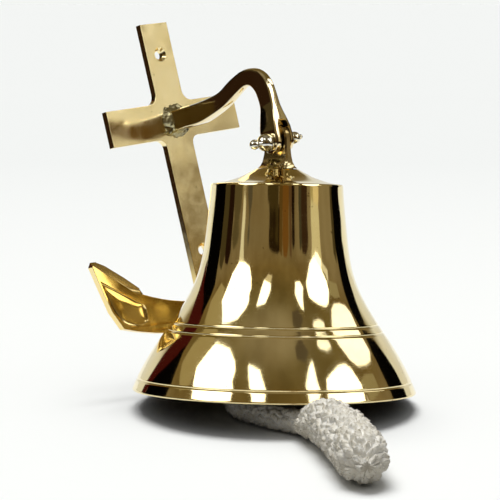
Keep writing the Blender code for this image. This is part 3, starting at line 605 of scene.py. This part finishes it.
# Studio panels as the polished brass sees them: corners as (degrees to the right of the camera,
# degrees above the horizon), colour and brightness.
WHITE_CLOTH = (1.0, 1.0, 0.97)
NEAR_BLACK = (0.001, 0.0007, 0.0007)
PANELS = {
    "left_octabox": ([(-92, 50.5), (-72, 57.5), (-57, 57), (-51, 54.5), (-49, 50), (-44, 46), (-42, 37),
                      (-44, 28), (-52, 24), (-62, 22), (-74, 27), (-84, 35), (-93, 40)],
                     WHITE_CLOTH, 3.2),
    "left_octabox_foot": ([(-63, 22.5), (-54, 24), (-56, 13), (-60, 12)], (1.0, 0.95, 0.8), 0.72),
    "right_octabox": ([(55, 22), (53, 30), (52, 37), (56, 43), (61, 47), (70, 47), (80, 45.5),
                       (88, 42.5), (91, 39), (91, 32), (86, 26), (76, 20.5), (62, 17)],
                      WHITE_CLOTH, 2.8),
    "right_octabox_point": ([(61, 20), (65, 15), (70, 14.5), (76, 16), (76, 20)], WHITE_CLOTH, 2.0),
    "right_octabox_glow": ([(76, 20), (76, 16), (88, 18), (90, 27), (84, 22)], (1.0, 0.94, 0.80), 0.75),
    "right_octabox_foot": ([(60, 11), (58, 20), (80, 20), (75, 10)], (0.80, 0.72, 0.50), 0.76),
    "left_strip": ([(-38, 60), (-20, 60), (-13, 55), (-9, 50), (-9, 45), (-20, 41), (-27, 50)],
                   WHITE_CLOTH, 2.8),
    "left_strip_foot": ([(-20, 41), (-9, 45), (-6, 37), (-13, 36)], (0.9, 0.8, 0.6), 0.7),
    "right_strip": ([(42, 54), (49, 56.5), (56, 57), (50, 49), (48.5, 43), (41, 38.5), (34, 40),
                     (36, 50)], WHITE_CLOTH, 2.5),
    "ceiling_streak": ([(72, 58), (77, 58), (87, 52), (86, 50.5), (79, 52.5), (73, 56)],
                       WHITE_CLOTH, 1.7),
    "far_softbox": ([(95, 50), (95.5, 40), (99, 35.5), (107, 31), (115, 27.5), (121, 26.5), (125, 30),
                     (118, 44), (104, 54)], (1.0, 0.99, 0.95), 1.9),
    "vent": ([(36, 62), (40, 66.5), (54, 66.5), (57, 60.5), (46, 58.5)], (0.09, 0.07, 0.045), 1.0),
    "left_dark": ([(-119, 32), (-112, 29.5), (-106, 25), (-104, 16), (-101, 8), (-101, -8), (-132, -8),
                   (-133, 4), (-129, 15), (-124, 22)], NEAR_BLACK, 1.0),
    "left_dark_edge": ([(-121, 37), (-117, 32), (-124, 21), (-129, 14), (-134, 3), (-138, 4),
                        (-137, 16), (-132, 26)], (0.05, 0.006, 0.005), 1.0),
    "right_dark": ([(107, 3), (113, 8), (117, 17), (119, 21), (123, 25), (128, 25.5), (136, 18),
                    (138, 10), (136, 3), (132, -8), (106, -8)], NEAR_BLACK, 1.0),
    "left_light_wall": ([(-113, 37), (-110, 32), (-94, 28), (-88, 34), (-94, 41), (-94, 50), (-104, 50)],
                        (0.34, 0.28, 0.15), 1.0),
    "right_light_wall": ([(91, 24), (92, 33), (100, 32), (109, 27), (105, 21)],
                         (0.29, 0.25, 0.15), 1.0),
    "right_shade": ([(102, 2), (103, 7), (109, 9), (112, -8), (102, -8)], (0.06, 0.045, 0.02), 1.0),
    "left_shade": ([(-101, 14), (-96, 19), (-90, 13), (-88, 0), (-101, 0)], (0.055, 0.042, 0.018), 1.0),
    "left_post": ([(-91, 11), (-89, 17), (-84, 19), (-79, 14), (-79, -8), (-88, -8)],
                  (0.015, 0.006, 0.003), 1.0),
    "left_brown": ([(-79, 11), (-74, 15), (-65, 14), (-63, 11), (-63, -8), (-79, -8)],
                   (0.09, 0.07, 0.034), 1.0),
    "left_bright": ([(-63, 11), (-60, 16), (-56, 13), (-56, -8), (-63, -8)], (0.27, 0.22, 0.12), 1.0),
    "left_grey": ([(-53, 12), (-48, 18), (-44, 15), (-42, -8), (-53, -8)], (0.085, 0.072, 0.05), 1.0),
    "olive": ([(-17, 16), (-12, 18.5), (-4, 19), (2, 20), (3, -8), (-17, -8)],
              (0.046, 0.032, 0.010), 1.0),
    "olive_dark": ([(-14, 17.5), (-12, 21), (-6, 22.5), (2, 23), (5, 22), (4, 17.5)],
                   (0.017, 0.009, 0.003), 1.0),
    "olive_light": ([(-11, 15), (-8, 17), (-6, -8), (-11, -8)], (0.075, 0.062, 0.03), 1.0),
    "red_edge": ([(3, 18), (5, 22), (9, 24), (10, -8), (3, -8)], (0.095, 0.055, 0.014), 1.0),
    "reds": ([(9, 18), (12, 24), (17, 24), (20, 18), (20, -8), (9, -8)], (0.145, 0.066, 0.014), 1.0),
    "red_streak": ([(15, 14), (17, 17), (19, 14), (19, -8), (15, -8)], (0.215, 0.088, 0.02), 1.0),
    "red_shade": ([(20, 15), (22, 22), (25, 24), (25, -8), (20, -8)], (0.095, 0.055, 0.028), 1.0),
    "post": ([(25, 17), (27, 20), (30, 18), (30, -8), (25, -8)], (0.010, 0.004, 0.001), 1.0),
    "wall_strip": ([(31, 14), (33, 17), (35, 15), (35, -8), (31, -8)], (0.17, 0.13, 0.08), 1.0),
    "grey_strip": ([(37, 15), (39, 19), (42, 17), (42, -8), (37, -8)], (0.05, 0.043, 0.026), 1.0),
    "dark_door": ([(41, 15), (43, 19), (49, 19), (53, 15), (52, -8), (41, -8)],
                  (0.035, 0.018, 0.008), 1.0),
    "bright_edge": ([(58, 8), (60, 12), (64, 12), (64, -8), (58, -8)], (0.40, 0.34, 0.17), 1.0),
    "bright_wall": ([(63.5, 9), (66, 12), (73, 11), (76, 8), (76, -8), (63.5, -8)],
                    (0.72, 0.60, 0.36), 1.0),
}
PANEL_DISTANCE = 6.0
PANEL_SPACING = 0.05
FLOOR_HALF_SIZE = 20.0

# The room's walls and ceiling as the brass sees them, by the sine of the height above the horizon.
ROOM_COLOURS = [
    (0.0, (0.22, 0.175, 0.105)), (0.30, (0.20, 0.155, 0.09)), (0.50, (0.165, 0.115, 0.045)),
    (0.76, (0.125, 0.09, 0.032)), (0.86, (0.16, 0.125, 0.06)), (0.95, (0.25, 0.21, 0.145)),
]


def seen_directly(nodes, strength):
    """The strength for rays that have met only polished metal, and 0 once they have met cloth or table."""
    path = nodes.add("ShaderNodeLightPath")
    first = nodes.math("LESS_THAN", path.outputs["Diffuse Depth"], 0.5)
    return nodes.math("MULTIPLY", first, strength)


def emission(name, colour, strength):
    made = bpy.data.materials.new(name)
    made.use_nodes = True
    nodes = Nodes(made.node_tree)
    nodes.tree.nodes.clear()
    light = nodes.add("ShaderNodeEmission", {"Color": (*colour, 1),
                                             "Strength": seen_directly(nodes, strength)})
    nodes.add("ShaderNodeOutputMaterial", {"Surface": light.outputs[0]})
    return made


def towards(turn, rise):
    """The direction that many degrees right of the camera's side and above the horizon."""
    a, e = math.radians(turn), math.radians(rise)
    return Vector((math.sin(a) * math.cos(e), -math.cos(a) * math.cos(e), math.sin(e)))


def make_panels():
    """The studio's softboxes and dark sides, seen in the brass only."""
    centre = Vector((SHIFT[0], SHIFT[1], 60)) * MM
    for number, (name, (corners, colour, strength)) in enumerate(PANELS.items()):
        distance = PANEL_DISTANCE + PANEL_SPACING * number
        points = [centre + towards(*corner) * distance for corner in corners]
        mesh = bpy.data.meshes.new(name)
        mesh.from_pydata([p[:] for p in points], [], [tuple(range(len(points)))])
        panel = new_object(name, mesh, emission(name, colour, strength))
        panel.visible_camera = False
        panel.visible_diffuse = False
        panel.visible_shadow = False
        panel.visible_transmission = False


def make_world():
    """A pale backdrop for the camera, even light on cloth and floor, and a tan room in the brass."""
    world = bpy.data.worlds.new("studio")
    bpy.context.scene.world = world
    world.use_nodes = True
    nodes = Nodes(world.node_tree)
    world.node_tree.nodes.clear()
    way = nodes.add("ShaderNodeTexCoord").outputs["Generated"]
    parts = nodes.add("ShaderNodeSeparateXYZ", {"Vector": way})
    walls = nodes.ramp(parts.outputs["Z"], ROOM_COLOURS)
    clouds = nodes.add("ShaderNodeTexNoise", {"Vector": way, "Scale": 3.4, "Detail": 4.0})
    uneven = nodes.ramp(clouds.outputs[0], [(0.35, (0.82, 0.80, 0.74)), (0.65, (1.15, 1.17, 1.2))])
    room = nodes.mix(1.0, walls, uneven, "MULTIPLY")
    behind = nodes.rise(parts.outputs["Y"], 0.64, 0.70, interpolation_type="SMOOTHSTEP")
    low = nodes.rise(parts.outputs["Z"], 0.34, 0.20, interpolation_type="SMOOTHSTEP")
    seen = nodes.mix(nodes.math("MULTIPLY", behind, low), room, (0.74, 0.74, 0.71))
    path = nodes.add("ShaderNodeLightPath")
    glossy = nodes.add("ShaderNodeBackground", {"Color": seen, "Strength": seen_directly(nodes, 1.0)})
    above = nodes.math("MULTIPLY", nodes.rise(parts.outputs["Z"], 0.20, 0.85), 0.43)
    even = nodes.add("ShaderNodeBackground", {"Color": (1.0, 1.0, 1.0, 1), "Strength": above})
    plain = nodes.add("ShaderNodeBackground", {"Color": (0.905, 0.925, 0.90, 1), "Strength": 1.0})
    first = nodes.add("ShaderNodeMixShader", {0: path.outputs["Is Glossy Ray"], 1: even.outputs[0],
                                              2: glossy.outputs[0]})
    both = nodes.add("ShaderNodeMixShader", {0: path.outputs["Is Camera Ray"], 1: first.outputs[0],
                                             2: plain.outputs[0]})
    nodes.add("ShaderNodeOutputWorld", {"Surface": both.outputs[0]})


def make_floor():
    """A pale table, clear from below, painted greyer far off as a painted falloff of light, that the brass
    sees as a painted dark glow at the far sides and in front.
    """
    far_off = FLOOR_HALF_SIZE
    corners = [(-far_off, -far_off, 0), (far_off, -far_off, 0), (far_off, far_off, 0), (-far_off, far_off, 0)]
    mesh = bpy.data.meshes.new("floor")
    mesh.from_pydata(corners, [], [(0, 1, 2, 3)])
    made, nodes, shader = new_material("pale_table")
    shader.inputs["Roughness"].default_value = 1.0
    shader.inputs["Specular IOR Level"].default_value = 0.0
    place = nodes.add("ShaderNodeTexCoord").outputs["Object"]
    parts = nodes.add("ShaderNodeSeparateXYZ", {"Vector": place})
    x, y = parts.outputs["X"], parts.outputs["Y"]
    sides = nodes.math("MAXIMUM", nodes.rise(x, -0.24, -0.38), nodes.rise(x, 0.38, 0.55))
    far = nodes.math("MAXIMUM", sides, nodes.rise(y, -0.45, -0.75))
    aside = nodes.math("MULTIPLY", nodes.math("ABSOLUTE", x), 0.85)
    not_behind = nodes.rise(nodes.math("SUBTRACT", aside, y), -0.1, 0.15)
    far = nodes.math("MULTIPLY", far, not_behind)
    # The table is painted paler near the camera and greyer far off, a painted falloff of light.
    table_tone_painted_falloff = nodes.mix(nodes.rise(y, 0.1, 1.4), (0.93, 0.94, 0.92), (0.845, 0.86, 0.845))
    nodes.tree.links.new(table_tone_painted_falloff, shader.inputs["Base Color"])
    # Once a ray has bounced off cloth or table, the table is dimmer to it (near black to mirrored rays),
    # which deepens the shade under the rim and on the rope; to mirrored rays its far sides are a dark brown
    # glow, a painted reflection of the room.
    path = nodes.add("ShaderNodeLightPath")
    mirrored_ray = path.outputs["Is Glossy Ray"]
    faint = nodes.mix(mirrored_ray, (0.50, 0.49, 0.46), (0.03, 0.025, 0.02))
    dim = nodes.add("ShaderNodeBsdfDiffuse", {"Color": faint})
    dark = nodes.add("ShaderNodeEmission", {"Color": (0.024, 0.011, 0.005, 1), "Strength": 1.0})
    later = nodes.math("GREATER_THAN", path.outputs["Diffuse Depth"], 0.5)
    bounced = nodes.add("ShaderNodeMixShader", {0: later, 1: shader.outputs[0], 2: dim.outputs[0]})
    mirrored = nodes.add("ShaderNodeMixShader", {0: nodes.math("MULTIPLY", far, mirrored_ray),
                                                 1: bounced.outputs[0], 2: dark.outputs[0]})
    clear = nodes.add("ShaderNodeBsdfTransparent")
    under = nodes.add("ShaderNodeNewGeometry").outputs["Backfacing"]
    whole = nodes.add("ShaderNodeMixShader", {0: under, 1: mirrored.outputs[0], 2: clear.outputs[0]})
    out = nodes.tree.nodes["Material Output"]
    nodes.tree.links.new(whole.outputs[0], out.inputs["Surface"])
    new_object("floor", mesh, made)


def make_lights():
    """One large soft light above and a little behind, for the shadow under the rim."""
    data = bpy.data.lights.new("overhead", "SUN")
    data.energy = 2.55
    data.angle = math.radians(42)
    data.specular_factor = 0.0
    light = bpy.data.objects.new("overhead", data)
    light.rotation_euler = (math.radians(-17), math.radians(-6), 0)
    light.visible_glossy = False
    bpy.context.collection.objects.link(light)


def main():
    scene = bpy.context.scene
    scene.view_settings.view_transform = "Standard"
    scene.view_settings.look = "None"
    make_camera()
    bell = brass("brass_bell", (0.92, 0.79, 0.44), (0.86, 0.70, 0.36), 0.062, 0.06, 0.08)
    # The anchor is painted deeper, darker gold below 78 mm, a painted reflection.
    pale = brass("brass_anchor", (0.97, 0.84, 0.50), (0.93, 0.77, 0.40), 0.13, 0.5, 0.0, 34.0, 1.0,
                 ((0.97, 0.74, 0.30), 78.0))
    arm = brass("brass_arm", (0.93, 0.82, 0.55), (0.86, 0.70, 0.40), 0.07, 0.3, 0.04)
    fitting = brass("brass_fittings", (0.86, 0.74, 0.46), (0.45, 0.33, 0.14), 0.12, 0.3, 0.3)
    knob = brass("brass_knob", (0.86, 0.82, 0.68), (0.7, 0.62, 0.42), 0.1, 0.2, 0.2)
    nickel = brass("nickel", (0.80, 0.79, 0.74), (0.6, 0.57, 0.48), 0.08, 0.2, 0.2)
    cast = brass("brass_rough_cast", (0.62, 0.52, 0.20), (0.05, 0.025, 0.01), 0.2, 0.9, 0.7, 90.0, 1.0)
    braze = brass("braze", (0.46, 0.42, 0.25), (0.13, 0.10, 0.05), 0.26, 0.8, 0.6, 160.0, 1.0)
    rope = cotton("cotton_rope")
    twine = cotton("waxed_twine")
    make_rope(rope, twine)
    make_bell(bell)
    make_rough_metal(cast, braze)
    dress_cad_nodes({
        "crown_lug": fitting, "crown_washer": fitting, "crown_nut": fitting, "clapper_eye": fitting,
        "clapper_rod": fitting, "clapper_ball": fitting, "clapper_pin": fitting, "anchor": pale,
        "gooseneck_arm": arm, "arm_screw": fitting, "clevis_bolt": knob, "cap_nut": nickel,
    })
    make_world()
    make_panels()
    make_floor()
    make_lights()


main()
